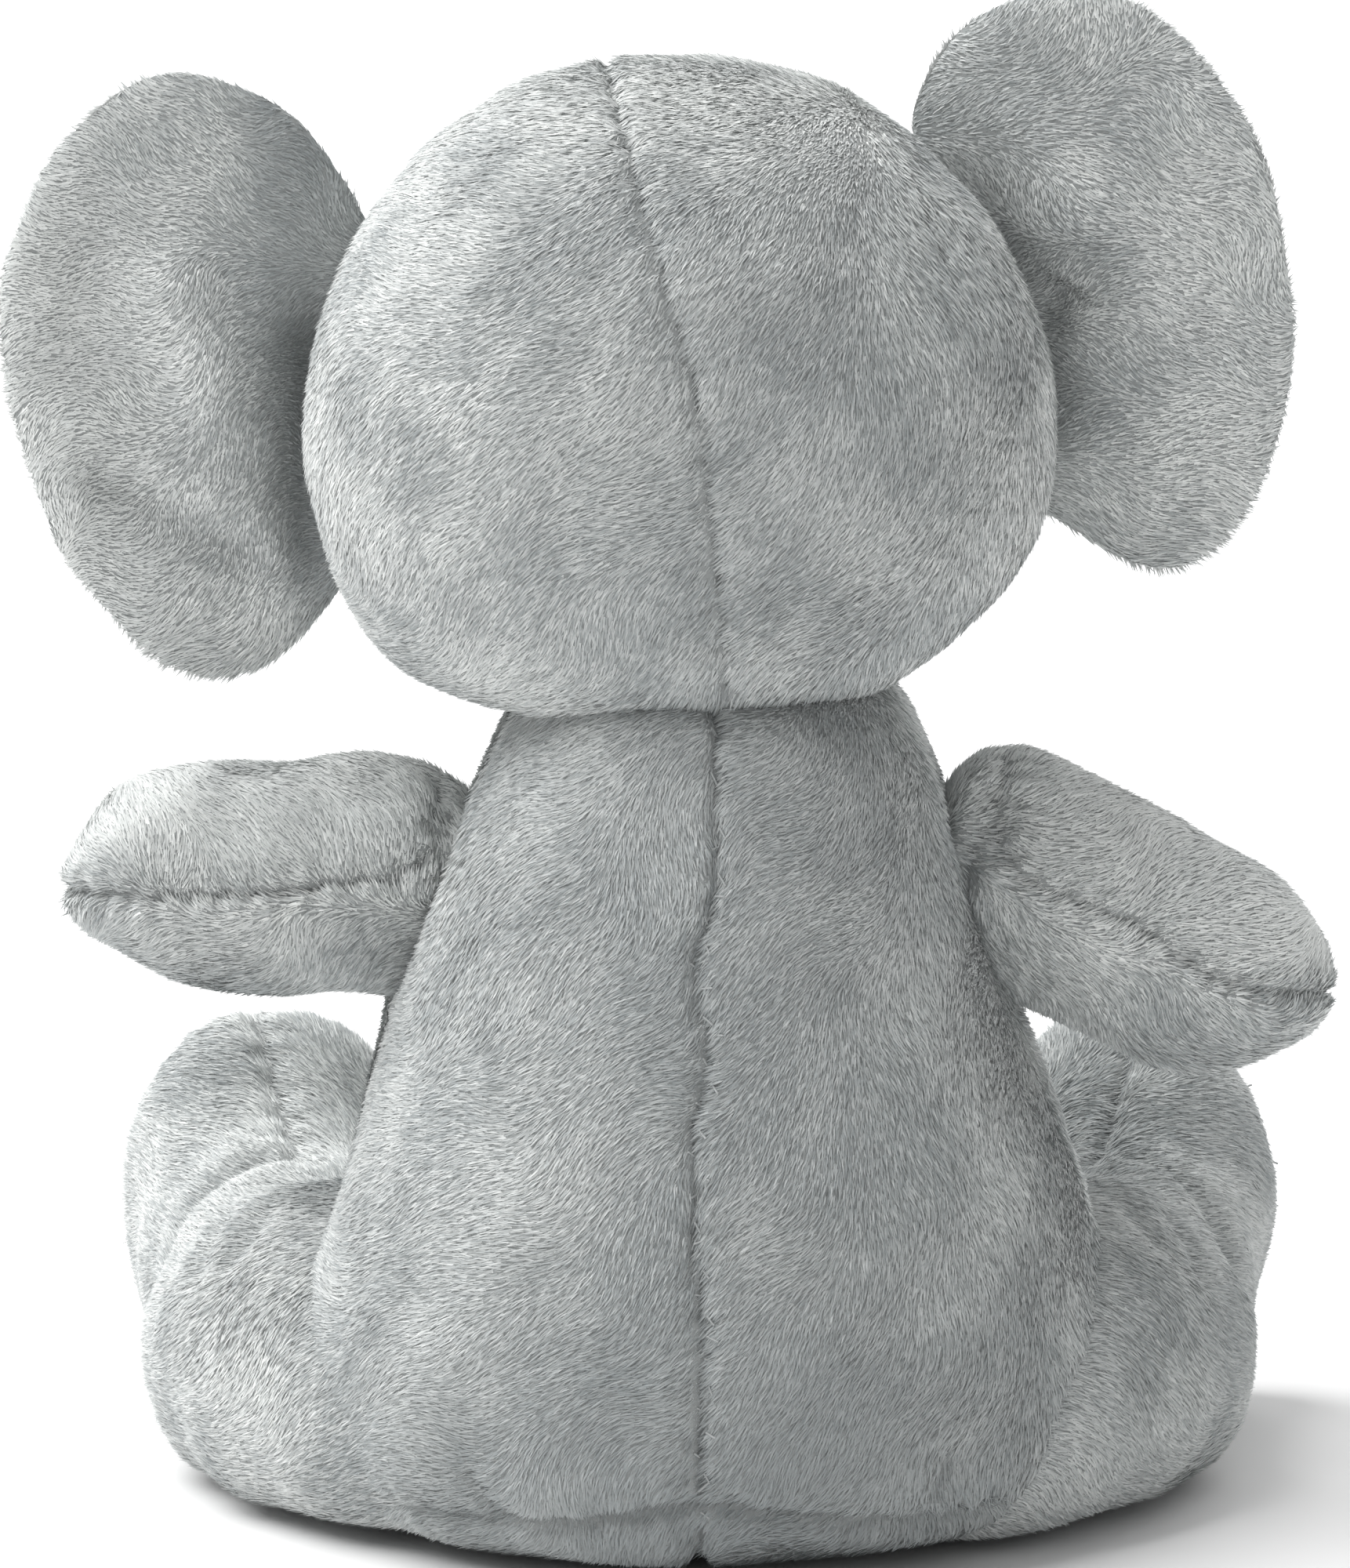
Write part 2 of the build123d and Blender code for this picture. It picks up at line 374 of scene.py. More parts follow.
def newNode(tree, kind, settings, inputs, out):
    # a node with its settings and its inputs, each a value or a socket to link; returns one output
    node = tree.nodes.new(kind)
    for key, value in (settings or {}).items():
        setattr(node, key, value)
    for key, value in (inputs or {}).items():
        if isinstance(value, bpy.types.NodeSocket):
            tree.links.new(value, node.inputs[key])
        else:
            node.inputs[key].default_value = value
    return node.outputs[out]


class Wire:
    # a socket that can be used in a Python expression
    def __init__(self, graph, socket):
        self.graph, self.socket = graph, socket

    def math(self, operation, other):
        return self.graph.node("ShaderNodeMath", {"operation": operation}, {0: self, 1: other})

    def __add__(self, other):
        return self.math("ADD", other)

    def __sub__(self, other):
        return self.math("SUBTRACT", other)

    def __mul__(self, other):
        return self.math("MULTIPLY", other)


class Graph:
    # one material being built
    def __init__(self, name):
        self.material = bpy.data.materials.new(name)
        self.material.use_nodes = True
        self.tree = self.material.node_tree
        self.tree.nodes.clear()

    def node(self, kind, settings=None, inputs=None, out=0):
        inputs = {key: getattr(value, "socket", value) for key, value in (inputs or {}).items()}
        return Wire(self, newNode(self.tree, kind, settings, inputs, out))

    def noise(self, scale, detail=2.0, rough=0.5):
        place = self.node("ShaderNodeTexCoord", out="Object")
        values = {"Vector": place, "Scale": scale, "Detail": detail, "Roughness": rough}
        return self.node("ShaderNodeTexNoise", None, values)

    def bump(self, height, strength, distance):
        values = {"Strength": strength, "Distance": distance, "Height": height}
        return self.node("ShaderNodeBump", None, values)

    def mix(self, factor, a, b):
        return self.node("ShaderNodeMix", {"data_type": "RGBA"}, {0: factor, 6: a, 7: b}, 2)

    def attribute(self, name):
        return self.node("ShaderNodeAttribute", {"attribute_name": name}, out="Fac")

    def finish(self, **sockets):
        inputs = {key.replace("_", " "): value for key, value in sockets.items()}
        shader = self.node("ShaderNodeBsdfPrincipled", None, inputs)
        end = self.tree.nodes.new("ShaderNodeOutputMaterial")
        self.tree.links.new(shader.socket, end.inputs[0])
        return self.material


plushLook = dict(
    # the backing under the pile is darker than the blades: painted shade in the gaps between them
    backing=(0.22, 0.235, 0.235, 1),
    backingLight=(0.40, 0.415, 0.41, 1),
    root=(0.345, 0.37, 0.375, 1),
    tip=(0.83, 0.845, 0.83, 1),
    # deep: the colour of the painted shade
    deep=(0.33, 0.355, 0.36, 1),
    # seam: the colour of the painted shade in the seams' grooves
    seam=(0.16, 0.17, 0.17, 1),
    lining=(0.62, 0.63, 0.62, 1),
    patch=24.0,
    sheen=0.65,
)


def plushBacking():
    g = Graph("plushBacking")
    patch = g.noise(1000 / plushLook["patch"], 3.0)
    streak = g.noise(900.0, 3.0, 0.6)
    shade = g.mix(patch * 0.5 + streak * 0.5, plushLook["backing"], plushLook["backingLight"])
    colour = g.mix(g.attribute("lining") * 0.5, shade, plushLook["lining"])
    # painted shade along the seams' grooves
    colour = g.mix(g.attribute("seam") * 0.6, colour, plushLook["seam"])
    return g.finish(
        Base_Color=colour,
        Roughness=0.95,
        Normal=g.bump(streak, 0.6, 0.0006),
        Sheen_Weight=plushLook["sheen"],
        Sheen_Roughness=0.4,
        Specular_IOR_Level=0.2,
    )


def plushPile():
    g = Graph("plushPile")
    patch = g.noise(1000 / plushLook["patch"], 2.0)
    nap = g.node("ShaderNodeMapRange", {"clamp": True}, {0: patch, 1: 0.36, 2: 0.64, 3: 0.0, 4: 1.0})
    shade = g.mix(g.attribute("tint") * 0.78 + nap * 0.42 - 0.11, plushLook["root"], plushLook["tip"])
    # painted shading: above 0 it paints shade towards the deep colour, below 0 it paints light towards the
    # tip colour
    tone = g.attribute("tone")
    shade = g.mix(tone, shade, plushLook["deep"])
    shade = g.mix(tone * -1.0, shade, plushLook["tip"])
    colour = g.mix(g.attribute("lining") * 0.4, shade, plushLook["lining"])
    # painted shade along the seams' grooves
    colour = g.mix(g.attribute("seam") * 0.33, colour, plushLook["seam"])
    return g.finish(
        Base_Color=colour,
        Roughness=0.75,
        Sheen_Weight=plushLook["sheen"],
        Sheen_Roughness=0.35,
        Specular_IOR_Level=0.3,
    )


def plain(name, low, high, scale, roughness, depth=0.0003, strength=0.4, **more):
    # a fine grain between two colours, with a little relief
    g = Graph(name)
    grain = g.noise(scale, 3.0, 0.6)
    colour = g.mix(grain, (*low, 1), (*high, 1))
    return g.finish(Base_Color=colour, Roughness=roughness, Normal=g.bump(grain, strength, depth), **more)


# the two colours of each grain, its scale, its roughness and its depth
smallLooks = dict(
    sole=((0.38, 0.39, 0.385), (0.53, 0.54, 0.53), 1500.0, 0.95, 0.0004),
    eye=((0.006, 0.006, 0.007), (0.010, 0.010, 0.011), 60.0, 0.08, 0.0),
    washer=((0.72, 0.72, 0.70), (0.80, 0.80, 0.78), 400.0, 0.45, 0.0003),
    fill=((0.80, 0.80, 0.79), (0.93, 0.93, 0.92), 500.0, 0.95, 0.001),
    pouch=((0.74, 0.72, 0.68), (0.84, 0.82, 0.78), 900.0, 0.9, 0.0003),
    thread=((0.34, 0.355, 0.355), (0.46, 0.475, 0.475), 2500.0, 0.8, 0.0003),
)
materials = dict(
    backing=plushBacking(),
    pile=plushPile(),
    sole=plain("soleFabric", *smallLooks["sole"], strength=0.5, Sheen_Weight=0.4, Sheen_Roughness=0.4),
    eye=plain("eyeBlack", *smallLooks["eye"], Coat_Weight=0.6),
    washer=plain("washerPlastic", *smallLooks["washer"]),
    fill=plain("polyesterFill", *smallLooks["fill"]),
    pouch=plain("pouchCotton", *smallLooks["pouch"]),
    thread=plain("sewingThread", *smallLooks["thread"]),
)
print("materials made")


# pile and stitches


pileShape = {
    "Density": 3.1e6,
    "Length": 0.0024,
    "Width": 0.00047,
    "Vary": 0.25,
    "Lift": 0.23,
    "Spread": 0.2,
    "Seed": 100,
    "Material": materials["pile"],
}
stitchShape = {
    "Pitch": 0.0055,
    "Length": 0.0024,
    "Thickness": 0.0004,
    "Slant": 0.5,
    "Seed": 1,
    "Material": materials["thread"],
}
stitchProud = 0.0002


def newTree(name, settings):
    # a tree with a geometry going in and out, and a named input for each setting
    tree = bpy.data.node_groups.new(name, "GeometryNodeTree")
    kinds = {"Seed": "NodeSocketInt", "Material": "NodeSocketMaterial", "Geometry": "NodeSocketGeometry"}
    for label in ("Geometry", *settings):
        kind = kinds.get(label, "NodeSocketFloat")
        tree.interface.new_socket(label, in_out="INPUT", socket_type=kind)
    tree.interface.new_socket("Geometry", in_out="OUTPUT", socket_type="NodeSocketGeometry")
    return tree


class Nodes:
    # one Geometry Nodes tree being built
    def __init__(self, tree):
        self.tree = tree
        self.enter = tree.nodes.new("NodeGroupInput")
        self.leave = tree.nodes.new("NodeGroupOutput")

    def add(self, kind, settings=None, inputs=None, out=0):
        return newNode(self.tree, kind, settings, inputs, out)

    def value(self, name):
        return self.enter.outputs[name]

    def maths(self, operation, a, b):
        return self.add("ShaderNodeMath", {"operation": operation}, {0: a, 1: b})

    def sum(self, a, b):
        return self.add("ShaderNodeVectorMath", {"operation": "ADD"}, {0: a, 1: b})

    def times(self, a, scale):
        return self.add("ShaderNodeVectorMath", {"operation": "SCALE"}, {0: a, "Scale": scale})

    def xyz(self, x, y, z):
        return self.add("ShaderNodeCombineXYZ", None, {0: x, 1: y, 2: z})

    def attribute(self, name, kind):
        return self.add("GeometryNodeInputNamedAttribute", {"data_type": kind}, {"Name": name})

    def random(self, low, high, seed):
        values = {2: low, 3: high, "Seed": seed}
        return self.add("FunctionNodeRandomValue", {"data_type": "FLOAT"}, values, 1)

    def aim(self, main, along, second, towards):
        # a rotation whose main axis lies along one vector, with its second axis as near another as it can be
        kind = "FunctionNodeAlignRotationToVector"
        turn = self.add(kind, {"axis": main}, {"Vector": along})
        return self.add(kind, {"axis": second, "pivot_axis": main}, {"Rotation": turn, "Vector": towards})

    def shaped(self, form, shift, size):
        values = {"Geometry": form, "Translation": shift, "Scale": size}
        return self.add("GeometryNodeTransform", None, values)

    def spread(self, points, form, turn, size):
        # a copy of the form on each point, made into real mesh with the tree's material
        values = {"Points": points, "Instance": form, "Rotation": turn, "Scale": size}
        copies = self.add("GeometryNodeInstanceOnPoints", None, values)
        real = self.add("GeometryNodeRealizeInstances", None, {"Geometry": copies})
        values = {"Geometry": real, "Material": self.value("Material")}
        painted = self.add("GeometryNodeSetMaterial", None, values)
        self.tree.links.new(painted, self.leave.inputs[0])


def pileTree():
    tree = newTree("pile", pileShape)
    g = Nodes(tree)
    seed = g.value("Seed")
    thick = g.maths("MULTIPLY", g.value("Density"), g.attribute("growth", "FLOAT"))
    kind = "GeometryNodeDistributePointsOnFaces"
    scatter = {"Mesh": g.value("Geometry"), "Density": thick, "Seed": seed}
    points = g.add(kind, {"distribute_method": "RANDOM"}, scatter)
    normal = points.node.outputs["Normal"]
    jitter = g.add(
        "FunctionNodeRandomValue",
        {"data_type": "FLOAT_VECTOR"},
        {0: (-1, -1, -1), 1: (1, 1, 1), "Seed": g.maths("ADD", seed, 11)},
    )
    lean = g.sum(g.times(normal, g.value("Lift")), g.attribute("lay", "FLOAT_VECTOR"))
    lean = g.sum(lean, g.times(jitter, g.value("Spread")))
    turn = g.aim("X", lean, "Z", normal)
    roll = {"Axis": (1, 0, 0), "Angle": g.random(-0.7, 0.7, 5)}
    roll = g.add("FunctionNodeAxisAngleToRotation", None, roll)
    both = {"Rotation": turn, "Rotate By": roll}
    turn = g.add("FunctionNodeRotateRotation", {"rotation_space": "LOCAL"}, both)
    # a three-cornered blade: its foot near the origin, its tip along X
    blade = g.add("GeometryNodeMeshCircle", {"fill_type": "NGON"}, {"Vertices": 3, "Radius": 1.0})
    size = g.xyz(g.maths("DIVIDE", g.value("Length"), 1.5), g.maths("DIVIDE", g.value("Width"), 1.732), 1.0)
    blade = g.shaped(blade, g.xyz(g.maths("DIVIDE", g.value("Length"), 3.6), 0.0, 0.0), size)
    tinted = g.add(
        "GeometryNodeStoreNamedAttribute",
        {"data_type": "FLOAT", "domain": "POINT"},
        {"Geometry": points, "Name": "tint", "Value": g.random(0.0, 1.0, 23)},
    )
    longer = g.maths("ADD", 1.0, g.maths("MULTIPLY", g.value("Vary"), g.random(-1.3, 1.0, 31)))
    longer = g.maths("MULTIPLY", longer, g.attribute("reach", "FLOAT"))
    g.spread(tinted, blade, turn, g.xyz(longer, g.random(0.7, 1.3, 37), 1.0))
    return tree


def stitchTree():
    tree = newTree("stitches", stitchShape)
    g = Nodes(tree)
    curve = g.add("GeometryNodeMeshToCurve", None, {"Mesh": g.value("Geometry")})
    spaced = {"Curve": curve, "Length": g.value("Pitch")}
    points = g.add("GeometryNodeResampleCurve", {"mode": "LENGTH"}, spaced)
    along = g.times(g.add("GeometryNodeInputTangent"), g.value("Slant"))
    way = g.sum(g.attribute("across", "FLOAT_VECTOR"), along)
    turn = g.aim("Z", way, "X", g.attribute("up", "FLOAT_VECTOR"))
    strand = {"Vertices": 6, "Side Segments": 2, "Radius Top": 0.5, "Radius Bottom": 0.5, "Depth": 1.0}
    strand = g.add("GeometryNodeMeshCone", None, strand)
    thickness = g.value("Thickness")
    strand = g.shaped(strand, (0, 0, 0), g.xyz(thickness, thickness, g.value("Length")))
    g.spread(points, strand, turn, g.xyz(1.0, 1.0, g.random(0.75, 1.25, g.value("Seed"))))
    return tree


trees = dict(pile=pileTree(), stitches=stitchTree())


def grown(source, tree, name, settings):
    # runs a tree on a copy of the source and keeps the result as a plain mesh
    holder = linked(name + "Source", source.data)
    modifier = holder.modifiers.new(name, "NODES")
    modifier.node_group = tree
    for item in tree.interface.items_tree:
        if item.in_out == "INPUT" and item.name in settings:
            modifier[item.identifier] = settings[item.name]
    bpy.context.view_layer.update()
    mesh = evaluated(holder, name)
    bpy.data.objects.remove(holder)
    return linked(name, mesh)


def stitchLine(host, path, name, seed):
    # a seam's thread: a path with its own up and across directions
    tree = surface(host)
    hits = [tree.find_nearest(Vector(p)) for p in path]
    place = np.array([tuple(h[0]) for h in hits])
    up = np.array([tuple(h[1]) for h in hits])
    across = unit(np.cross(up, np.gradient(place, axis=0)))
    place = place + up * stitchProud
    line = bpy.data.meshes.new(name + "Line")
    line.from_pydata([tuple(p) for p in place], [(i, i + 1) for i in range(len(place) - 1)], [])
    holder = linked(name + "Line", line)
    put(line, "up", up)
    put(line, "across", across)
    out = grown(holder, trees["stitches"], name, {**stitchShape, "Seed": seed})
    bpy.data.objects.remove(holder)
    return out


# body

bodyShape = dict(
    # height, half width to the left and to the right, half depth
    stations=[
        (0.8, 6, 6, 6), (0.4, 28, 28, 28), (0.8, 48, 48, 48), (3.5, 63, 63, 59), (9, 72, 72, 66),
        (18, 78, 78.5, 69.5), (31, 80, 81, 70.5), (43, 78.5, 80.5, 70.5), (55, 74, 77, 69.5),
        (68, 69.5, 73, 68.5), (82, 66, 68, 66), (97, 61.5, 62.5, 62.5), (112.5, 57.5, 56.5, 58),
        (128, 51.5, 52, 56), (143, 44.5, 48, 52.5), (155, 38.5, 43, 51), (165, 31, 35, 45),
        (172, 18, 20, 25), (174, 5, 5, 5),
    ],
    around=88,
    along=50,
    squareness=2.15,
    swell=1.2,
    cap=3.0,
    swirl=0.5,
    patch=30,
)


def section(halfLeft, halfRight, depth, count, power):
    a = np.arange(count) / count * math.tau
    c, s = np.cos(a), np.sin(a)
    x = np.sign(c) * np.abs(c) ** (2 / power) * np.where(c > 0, halfLeft, halfRight)
    y = np.sign(s) * np.abs(s) ** (2 / power) * depth
    return x, y


def levelRings(shape):
    # the rings of a form that is built up level by level
    rings = []
    for z, left, right, depth in flow(shape["stations"], shape["along"]):
        x, y = section(left, right, depth, shape["around"], shape["squareness"])
        rings.append(np.stack([x, y, np.full(len(x), z)], 1))
    return rings


body = loft("bodySkin", levelRings(bodyShape))

# the seams as rows of (x, y, z); the piece's surface settles the rest
spinePath = [
    (-3, 34, 170), (-3, 46, 160), (-2.6, 56, 146), (-2.4, 64, 133), (0.6, 70, 122), (0.3, 72, 114),
    (-1.7, 73, 108), (0, 75, 98), (1.8, 77, 90), (0.6, 78, 82), (1.2, 79, 70), (0, 79, 55),
    (-0.6, 78, 40), (0, 76, 26), (0, 72, 16),
]
basePath = [
    (-60, 42, 10), (-44, 56, 9.5), (-28, 66, 11), (-12, 72, 14), (0, 73, 16), (12, 72, 14),
    (30, 64, 10.6), (44, 56, 9.5), (60, 42, 10), (70, 22, 11), (73, 0, 12), (68, -26, 12),
    (52, -50, 12), (28, -66, 12), (0, -72, 12), (-28, -66, 12), (-52, -50, 12), (-68, -26, 12),
    (-73, 0, 12), (-70, 22, 11), (-60, 42, 10),
]
bottomPath = [
    (0, 72, 15), (0, 68, 8), (0, 62, 2), (0, 50, 0), (0, 25, 0), (0, 0, 0), (0, -30, 0), (0, -50, 0),
    (0, -64, 4), (0, -71, 12),
]
dartPaths = [[(45.5, 56, 25), (41, 58, 17), (36.5, 58, 10)], [(-48, 55, 29), (-46, 56, 21), (-44, 55, 12)]]
sideRows = [(52, 0, 126), (63, 0, 98), (71, 0, 66), (74, 0, 40), (72, 0, 14)]
sidePaths = [[(k * x, y, z) for x, y, z in sideRows] for k in (1, -1)]


def verticesNear(obj, paths, reach):
    found = set()
    p = coords(obj.data)
    for path in paths:
        found.update(nearTo(p, path, reach * mm)[0].tolist())
    return sorted(found)


bodyHeld = [onto(body, p) for p in (spinePath, basePath, bottomPath, *sidePaths)]
plump(body, verticesNear(body, bodyHeld, 3.2), bodyShape["swell"], bodyShape["cap"])
finer(body, 2)
lumps(body, 26, 0.7, 3)
lumps(body, 9, 0.22, 4)
spine = onto(body, spinePath)
baseSeam = onto(body, basePath)
bottomSeam = onto(body, bottomPath)
sew(body, spine, width=1.3, depth=1.8, pucker=0.7, pitch=8.5, seed=5)
sew(body, baseSeam, width=2.0, depth=2.4, pucker=0.5, pitch=9, seed=6)
sew(body, bottomSeam, width=2.0, depth=2.2, pucker=0.4, pitch=8, seed=7)
for k, path in enumerate(dartPaths + sidePaths):
    sew(body, onto(body, path), width=2.0, depth=1.6, pucker=0.3, pitch=8, seed=8 + k)
flat = coords(body.data)
flat[:, 2] = np.maximum(flat[:, 2], 0.0)
setCoords(body.data, flat)


def bodyLay(p):
    # combed out to the sides and down, steeper near the spine
    x, y, z = p.T
    a = np.radians(-16 - 38 * bell(x - 6, 34) - 18 * ramp(z, 60, 10) - 74 * ramp(x, -12, -58))
    side = np.where(y > 0, 1.0, -1.0)
    return np.stack([np.cos(a) * side, -x / 60 * 0.6 * side, np.sin(a)], 1)


def bodyGrowth(p, n):
    under = np.where((p[:, 2] < 1.2) & (n[:, 2] < -0.8), 0.15, 1.0)
    inside = ramp(p[:, 2], 170, 163)
    return under * inside


def bodyPaintedShade(p, n):
    # painted shade: darker down the middle of the back and under the seat
    middle = bell(p[:, 0] + 12, 62) * ramp(p[:, 1], -20, 30)
    return 0.44 * middle + 0.5 * ramp(p[:, 2], 85, 5) * bell(p[:, 0], 90)


layPile(body, bodyLay, bodyShape["swirl"], bodyShape["patch"], 11, growth=bodyGrowth, tone=bodyPaintedShade)
print("body skin made")

# head

headShape = dict(
    # height, half width to the left and to the right, half depth; the head's own axes
    stations=[
        (-64, 6, 6, 6), (-64.5, 22, 22, 22), (-63, 34, 34, 33), (-59, 43, 43, 41), (-54, 52, 51, 46),
        (-46, 61.5, 60.5, 51), (-36, 67.5, 67, 55.5), (-24, 71, 70.5, 59.5), (-8, 72.5, 72.5, 62),
        (6, 70.5, 70.5, 62.5), (18, 66.5, 66.5, 61), (28, 61, 61, 58), (38, 53.5, 53.5, 52.5),
        (47, 44, 44, 45), (54, 33, 33, 35), (59, 20.5, 20.5, 23), (61.5, 7, 7, 8),
    ],
    around=84,
    along=44,
    squareness=2.15,
    swell=1.2,
    cap=3.0,
    swirl=0.45,
    patch=34,
)
head = loft("headSkin", [headPoint(ring) for ring in levelRings(headShape)])
crownPath = [
    (2, -61, 8), (3, -56, 28), (4, -42, 44), (5, -20, 58), (5, 0, 62), (4, 20, 58), (2, 40, 46),
    (-1, 54, 28), (-4, 61, 10), (-5.5, 63, -4), (-5, 60, -20), (-4, 54, -38), (-3, 46, -54),
    (-2, 42, -60),
]
crown = onto(head, headPoint(crownPath))
plump(head, verticesNear(head, [crown], 3.2), headShape["swell"], headShape["cap"])
finer(head, 2)
lumps(head, 30, 0.7, 13)
lumps(head, 9, 0.2, 14)
crown = onto(head, headPoint(crownPath))
sew(head, crown, width=1.3, depth=1.4, pucker=0.6, pitch=9.5, seed=15)
eyeSpots = [np.array(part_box("eye_left")), np.array(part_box("eye_right"))]


def headLay(p):
    x, y, z = p.T
    back = np.where(y > -20, 1.0, 0.0)
    a = np.radians(-28 - 20 * bell(x, 30) - 70 * ramp(x, -10, -56))
    turned = np.stack([np.cos(a), -x / 60 * 0.5, np.sin(a)], 1)
    front = np.stack([x / 50, np.zeros(len(x)), 0.5 + 0 * z], 1)
    return turned * back[:, None] + front * (1 - back)[:, None]


def headGrowth(p, n):
    local = (p - np.array(headTurn["centre"]))[:, 2]
    keep = ramp(local, -63, -58)
    for spot in eyeSpots:
        middle = spot.mean(0) / mm
        away = np.linalg.norm((p - middle)[:, [0, 2]], axis=1) + np.where(p[:, 1] > 0, 99, 0)
        keep = keep * ramp(away, 5.0, 7.5)
    return keep


def headPaintedShading(p, n):
    # painted shade down the middle of the back of the head, painted light on its top
    middle = 0.34 * bell(p[:, 0] + 8, 40) * ramp(p[:, 1], -20, 30) * ramp(p[:, 2], 285, 240)
    return middle - 0.35 * ramp(p[:, 2], 262, 282)


layPile(head, headLay, headShape["swirl"], headShape["patch"], 21, growth=headGrowth, tone=headPaintedShading)
print("head skin made")

# ears

earShape = dict(
    left=[
        (56, 42), (66, 57.5), (74, 63.5), (83, 67.4), (92, 68.4), (104, 63.3), (114.5, 52.2), (123, 37),
        (127.1, 23), (127.3, 8), (124.7, -7), (120.4, -22), (114, -33), (107, -42.5), (99, -48),
        (90, -49), (81, -46), (71, -38), (62, -26), (57, -8), (54, 10), (52, 28),
    ],
    right=[
        (50, 44), (55.5, 53.5), (63.3, 59.5), (74, 62.8), (85, 62.5), (96.5, 58.4), (106, 49),
        (113.3, 36.6), (117.8, 22), (119.4, 7), (118.5, -8), (116, -21), (112, -31), (105.3, -40.7),
        (98.4, -47.2), (90.3, -50.4), (81, -47.5), (73, -42), (63, -33), (58, -18), (54, 0), (50, 24),
    ],
    plane=-10.0,
    thick=7.0,
    dish=3.2,
    around=72,
    across=13,
    swell=0.6,
    cap=2.2,
    swirl=0.75,
    patch=24,
    # rows of distance outwards, distance behind the middle, height; then each crease's width and depth
    creases=dict(
        left=[
            ([(62, 4, 30), (67, 3, 12), (71, 3, -10), (74, 4, -38)], 6.5, 6.5),
            ([(119, 6, -2), (104, 6, -12), (90, 6, -22), (77, 5, -32)], 4.5, 3.8),
            ([(96, 6, 40), (90, 6, 24), (87, 6, 8), (88, 6, -8)], 8.0, -3.6),
            ([(108, 6, 44), (108, 6, 22), (111, 6, 4)], 10.0, 2.6),
        ],
        right=[
            ([(58, 4, 38), (63, 3, 20), (68, 3, 0), (70, 4, -28)], 7.0, 6.0),
            ([(66, 6, 50), (78, 6, 28), (88, 6, 8), (93, 6, -14)], 7.0, -3.2),
            ([(76, 6, 8), (70, 6, 2), (64, 6, -4)], 4.5, 4.0),
            ([(100, 6, 36), (104, 6, 14), (100, 6, -14)], 10.0, 2.6),
        ],
    ),
)


def earRings(side):
    s = earShape
    k = 1 if side == "left" else -1
    outline = flow(s[side] + s[side][:1], s["around"] + 1)[:-1]
    middle = np.array([92.0, 8.0]) if side == "left" else np.array([86.0, 6.0])
    rings = []
    spread = np.sin(np.linspace(0.06, 1, s["across"]) * math.pi / 2)
    for face, shares in ((1, spread), (-1, spread[-2::-1])):
        for share in shares:
            xz = middle + (outline - middle) * share
            edge = (1 - share**2.6) ** 0.6
            hollow = s["dish"] * (1 - share**2) ** (1.5 if face > 0 else 1)
            y = np.full(len(xz), s["plane"] + face * (edge * s["thick"] - hollow))
            rings.append(headPoint(np.stack([k * xz[:, 0], y, xz[:, 1]], 1)))
    return rings


def makeEar(side):
    k = 1 if side == "left" else -1
    s = earShape
    ear = loft("ear" + side.capitalize() + "Skin", earRings(side))
    outline = np.array(flow(s[side] + s[side][:1], 120))
    rim = headPoint(np.stack([k * outline[:, 0], np.full(120, s["plane"]), outline[:, 1]], 1))
    plump(ear, verticesNear(ear, [rim * mm], 2.5), s["swell"], s["cap"])
    finer(ear, 2)
    lumps(ear, 16, 0.5, 31 + k)

    def laid(points):
        return onto(ear, headPoint([(k * a, s["plane"] + h, b) for a, h, b in points]))

    for points, width, depth in s["creases"][side]:
        bend(ear, laid(points), width, depth, (0, -1, 0))
    across, up = headWay((k, 0, 0)), headWay((0, 0, 1))
    hub = headPoint([(k * 62, s["plane"], 14)])[0]

    def lay(p):
        out = unit(p - hub)
        return out * 0.8 + across * 0.9 - up * 0.25

    def lining(p, n):
        return np.where(n[:, 1] < -0.1, 1.0, 0.0)

    def reach(p, n):
        # a little shorter than on the body, longer along the lower edge
        drop = (p - np.array(headTurn["centre"])) @ up
        return 0.8 + 0.4 * ramp(drop, -28, -48)

    def tone(p, n):
        # painted shade where the ear goes in behind the head, painted light towards its rim
        run = (p - np.array(headTurn["centre"])) @ across
        near = (0.6 if side == "left" else 0.3) * ramp(run, 82, 70)
        return near - (0.5 if side == "left" else 0.1) * ramp(run, 84, 112)

    layPile(ear, lay, s["swirl"], s["patch"], 40 + k, lining=lining, tone=tone, reach=reach)
    return ear


ears = {side: makeEar(side) for side in ("left", "right")}
print("ears made")

# trunk

trunkShape = dict(
    # forward, up, radius, from the trunk's root; the head's own axes
    stations=[
        (-16, 4, 19), (-6, 3, 18.5), (4, -2, 17.4), (13, -10, 16), (20, -19, 15), (26, -29, 14),
        (31, -40, 13.2), (37, -47, 12.6), (45, -51.5, 12),
    ],
    root=(0, -70, -14),
    around=26,
    swell=0.6,
    cap=2.0,
)


def trunkRings():
    s = trunkShape
    path = flow(s["stations"], 22)
    way = unit(np.gradient(path[:, :2], axis=0))
    rings = []
    a = np.arange(s["around"]) / s["around"] * math.tau
    rows = [(path[0], way[0], share, 0.0) for share in (0.35, 0.8)]
    rows += [(p, w, 1.0, 0.0) for p, w in zip(path, way)]
    rows += [(path[-1], way[-1], share, lift) for lift, share in ((0, 0.92), (0.8, 0.7), (1.2, 0.35))]
    for (forward, up, radius), (df, du), share, lift in rows:
        forward, up = forward + df * lift, up + du * lift
        x = np.cos(a) * radius * share
        v = np.sin(a) * radius * share
        y, z = s["root"][1] - (forward - du * v), s["root"][2] + up + df * v
        rings.append(headPoint(np.stack([x + s["root"][0], y, z], 1)))
    return rings


